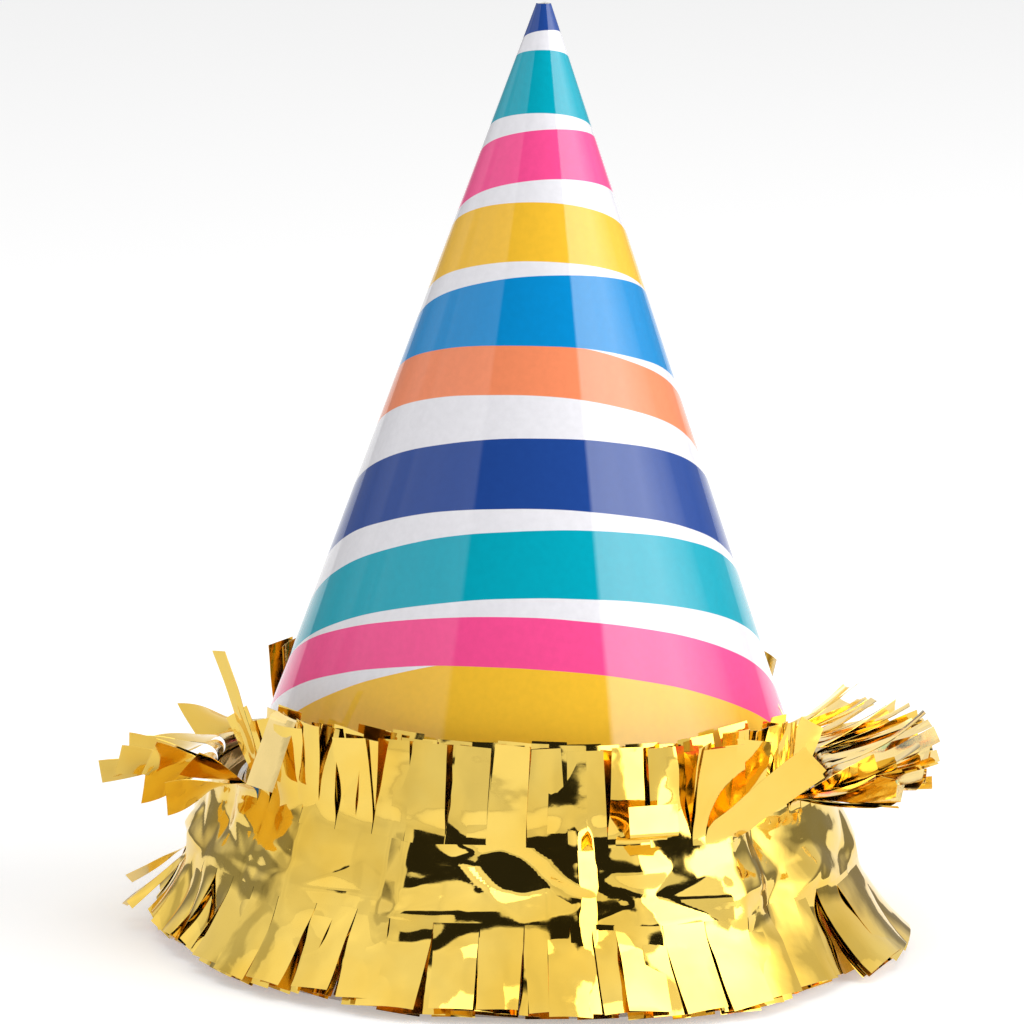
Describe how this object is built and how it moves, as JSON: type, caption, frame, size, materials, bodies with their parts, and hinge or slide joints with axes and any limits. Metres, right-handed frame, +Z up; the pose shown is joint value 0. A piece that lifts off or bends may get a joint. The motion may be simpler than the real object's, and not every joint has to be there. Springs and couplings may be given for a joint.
{
  "type": "party hat",
  "caption": "Cone-shaped party hat of rolled striped card with a metallic foil fringe round its foot that can be fluffed out.",
  "frame": {"origin": "centre of the resting plane, under the middle of the fringe's outline", "axes": "+Z up the cone's axis towards the tip, -Y towards the front, +X to the right of someone looking at the front; the card's seam is at +Y"},
  "size_m": [0.1272, 0.1224, 0.1565],
  "materials": {
    "card": "gloss laminated print outside, bare white inside",
    "foil": "gold metallised film, mirror bright and crinkled",
    "tape": "matte white double-sided tape"
  },
  "bodies": {
    "hat": {"cone_shell": "card", "seam_tape": "tape", "fringe_tape": "tape", "foil_band_inner": "foil", "foil_band_outer": "foil"},
    "upper_fringe_01": {"upper_outer_01": "foil", "upper_inner_01": "foil"},
    "upper_fringe_02": {"upper_outer_02": "foil", "upper_inner_02": "foil"},
    "upper_fringe_03": {"upper_outer_03": "foil", "upper_inner_03": "foil"},
    "upper_fringe_04": {"upper_outer_04": "foil", "upper_inner_04": "foil"},
    "upper_fringe_05": {"upper_outer_05": "foil", "upper_inner_05": "foil"},
    "upper_fringe_06": {"upper_outer_06": "foil", "upper_inner_06": "foil"},
    "upper_fringe_07": {"upper_outer_07": "foil", "upper_inner_07": "foil"},
    "upper_fringe_08": {"upper_outer_08": "foil", "upper_inner_08": "foil"},
    "upper_fringe_09": {"upper_outer_09": "foil", "upper_inner_09": "foil"},
    "upper_fringe_10": {"upper_outer_10": "foil", "upper_inner_10": "foil"},
    "upper_fringe_11": {"upper_outer_11": "foil", "upper_inner_11": "foil"},
    "upper_fringe_12": {"upper_outer_12": "foil", "upper_inner_12": "foil"},
    "lower_fringe_01": {"lower_outer_01": "foil", "lower_inner_01": "foil"},
    "lower_fringe_02": {"lower_outer_02": "foil", "lower_inner_02": "foil"},
    "lower_fringe_03": {"lower_outer_03": "foil", "lower_inner_03": "foil"},
    "lower_fringe_04": {"lower_outer_04": "foil", "lower_inner_04": "foil"},
    "lower_fringe_05": {"lower_outer_05": "foil", "lower_inner_05": "foil"},
    "lower_fringe_06": {"lower_outer_06": "foil", "lower_inner_06": "foil"},
    "lower_fringe_07": {"lower_outer_07": "foil", "lower_inner_07": "foil"},
    "lower_fringe_08": {"lower_outer_08": "foil", "lower_inner_08": "foil"},
    "lower_fringe_09": {"lower_outer_09": "foil", "lower_inner_09": "foil"},
    "lower_fringe_10": {"lower_outer_10": "foil", "lower_inner_10": "foil"},
    "lower_fringe_11": {"lower_outer_11": "foil", "lower_inner_11": "foil"},
    "lower_fringe_12": {"lower_outer_12": "foil", "lower_inner_12": "foil"}
  },
  "joints": [
    {"name": "upper_fold_01", "type": "hinge", "parent": "hat", "child": "upper_fringe_01", "pos_m": [0.01264, -0.04719, 0.0265], "axis": [0.9659, 0.2588, 0], "range_deg": [-10, 85.43], "stiffness_Nm_per_rad": 0.0008},
    {"name": "upper_fold_02", "type": "hinge", "parent": "hat", "child": "upper_fringe_02", "pos_m": [0.03455, -0.03455, 0.0265], "axis": [0.7071, 0.7071, 0], "range_deg": [-10, 85.43], "stiffness_Nm_per_rad": 0.0008},
    {"name": "upper_fold_03", "type": "hinge", "parent": "hat", "child": "upper_fringe_03", "pos_m": [0.04719, -0.01264, 0.0265], "axis": [0.2588, 0.9659, 0], "range_deg": [-80, 15.43], "stiffness_Nm_per_rad": 0.0008},
    {"name": "upper_fold_04", "type": "hinge", "parent": "hat", "child": "upper_fringe_04", "pos_m": [0.04719, 0.01264, 0.0265], "axis": [-0.2588, 0.9659, 0], "range_deg": [-80, 15.43], "stiffness_Nm_per_rad": 0.0008},
    {"name": "upper_fold_05", "type": "hinge", "parent": "hat", "child": "upper_fringe_05", "pos_m": [0.03455, 0.03455, 0.0265], "axis": [-0.7071, 0.7071, 0], "range_deg": [-10, 85.43], "stiffness_Nm_per_rad": 0.0008},
    {"name": "upper_fold_06", "type": "hinge", "parent": "hat", "child": "upper_fringe_06", "pos_m": [0.01264, 0.04719, 0.0265], "axis": [-0.9659, 0.2588, 0], "range_deg": [-10, 85.43], "stiffness_Nm_per_rad": 0.0008},
    {"name": "upper_fold_07", "type": "hinge", "parent": "hat", "child": "upper_fringe_07", "pos_m": [-0.01264, 0.04719, 0.0265], "axis": [-0.9659, -0.2588, 0], "range_deg": [-10, 85.43], "stiffness_Nm_per_rad": 0.0008},
    {"name": "upper_fold_08", "type": "hinge", "parent": "hat", "child": "upper_fringe_08", "pos_m": [-0.03455, 0.03455, 0.0265], "axis": [-0.7071, -0.7071, 0], "range_deg": [-10, 85.43], "stiffness_Nm_per_rad": 0.0008},
    {"name": "upper_fold_09", "type": "hinge", "parent": "hat", "child": "upper_fringe_09", "pos_m": [-0.04719, 0.01264, 0.0265], "axis": [-0.2588, -0.9659, 0], "range_deg": [-80, 15.43], "stiffness_Nm_per_rad": 0.0008},
    {"name": "upper_fold_10", "type": "hinge", "parent": "hat", "child": "upper_fringe_10", "pos_m": [-0.04719, -0.01264, 0.0265], "axis": [0.2588, -0.9659, 0], "range_deg": [-80, 15.43], "stiffness_Nm_per_rad": 0.0008},
    {"name": "upper_fold_11", "type": "hinge", "parent": "hat", "child": "upper_fringe_11", "pos_m": [-0.03455, -0.03455, 0.0265], "axis": [0.7071, -0.7071, 0], "range_deg": [-10, 85.43], "stiffness_Nm_per_rad": 0.0008},
    {"name": "upper_fold_12", "type": "hinge", "parent": "hat", "child": "upper_fringe_12", "pos_m": [-0.01264, -0.04719, 0.0265], "axis": [0.9659, -0.2588, 0], "range_deg": [-10, 85.43], "stiffness_Nm_per_rad": 0.0008},
    {"name": "lower_fold_01", "type": "hinge", "parent": "hat", "child": "lower_fringe_01", "pos_m": [0.0137, -0.05111, 0.015], "axis": [-0.9659, -0.2588, 0], "range_deg": [-8, 42.57], "stiffness_Nm_per_rad": 0.0008},
    {"name": "lower_fold_02", "type": "hinge", "parent": "hat", "child": "lower_fringe_02", "pos_m": [0.03741, -0.03741, 0.015], "axis": [-0.7071, -0.7071, 0], "range_deg": [-8, 42.57], "stiffness_Nm_per_rad": 0.0008},
    {"name": "lower_fold_03", "type": "hinge", "parent": "hat", "child": "lower_fringe_03", "pos_m": [0.05111, -0.0137, 0.015], "axis": [-0.2588, -0.9659, 0], "range_deg": [-8, 42.57], "stiffness_Nm_per_rad": 0.0008},
    {"name": "lower_fold_04", "type": "hinge", "parent": "hat", "child": "lower_fringe_04", "pos_m": [0.05111, 0.0137, 0.015], "axis": [0.2588, -0.9659, 0], "range_deg": [-8, 42.57], "stiffness_Nm_per_rad": 0.0008},
    {"name": "lower_fold_05", "type": "hinge", "parent": "hat", "child": "lower_fringe_05", "pos_m": [0.03741, 0.03741, 0.015], "axis": [0.7071, -0.7071, 0], "range_deg": [-8, 42.57], "stiffness_Nm_per_rad": 0.0008},
    {"name": "lower_fold_06", "type": "hinge", "parent": "hat", "child": "lower_fringe_06", "pos_m": [0.0137, 0.05111, 0.015], "axis": [0.9659, -0.2588, 0], "range_deg": [-8, 42.57], "stiffness_Nm_per_rad": 0.0008},
    {"name": "lower_fold_07", "type": "hinge", "parent": "hat", "child": "lower_fringe_07", "pos_m": [-0.0137, 0.05111, 0.015], "axis": [0.9659, 0.2588, 0], "range_deg": [-8, 42.57], "stiffness_Nm_per_rad": 0.0008},
    {"name": "lower_fold_08", "type": "hinge", "parent": "hat", "child": "lower_fringe_08", "pos_m": [-0.03741, 0.03741, 0.015], "axis": [0.7071, 0.7071, 0], "range_deg": [-8, 42.57], "stiffness_Nm_per_rad": 0.0008},
    {"name": "lower_fold_09", "type": "hinge", "parent": "hat", "child": "lower_fringe_09", "pos_m": [-0.05111, 0.0137, 0.015], "axis": [0.2588, 0.9659, 0], "range_deg": [-8, 42.57], "stiffness_Nm_per_rad": 0.0008},
    {"name": "lower_fold_10", "type": "hinge", "parent": "hat", "child": "lower_fringe_10", "pos_m": [-0.05111, -0.0137, 0.015], "axis": [-0.2588, 0.9659, 0], "range_deg": [-8, 42.57], "stiffness_Nm_per_rad": 0.0008},
    {"name": "lower_fold_11", "type": "hinge", "parent": "hat", "child": "lower_fringe_11", "pos_m": [-0.03741, -0.03741, 0.015], "axis": [-0.7071, 0.7071, 0], "range_deg": [-8, 42.57], "stiffness_Nm_per_rad": 0.0008},
    {"name": "lower_fold_12", "type": "hinge", "parent": "hat", "child": "lower_fringe_12", "pos_m": [-0.0137, -0.05111, 0.015], "axis": [-0.9659, 0.2588, 0], "range_deg": [-8, 42.57], "stiffness_Nm_per_rad": 0.0008}
  ]
}
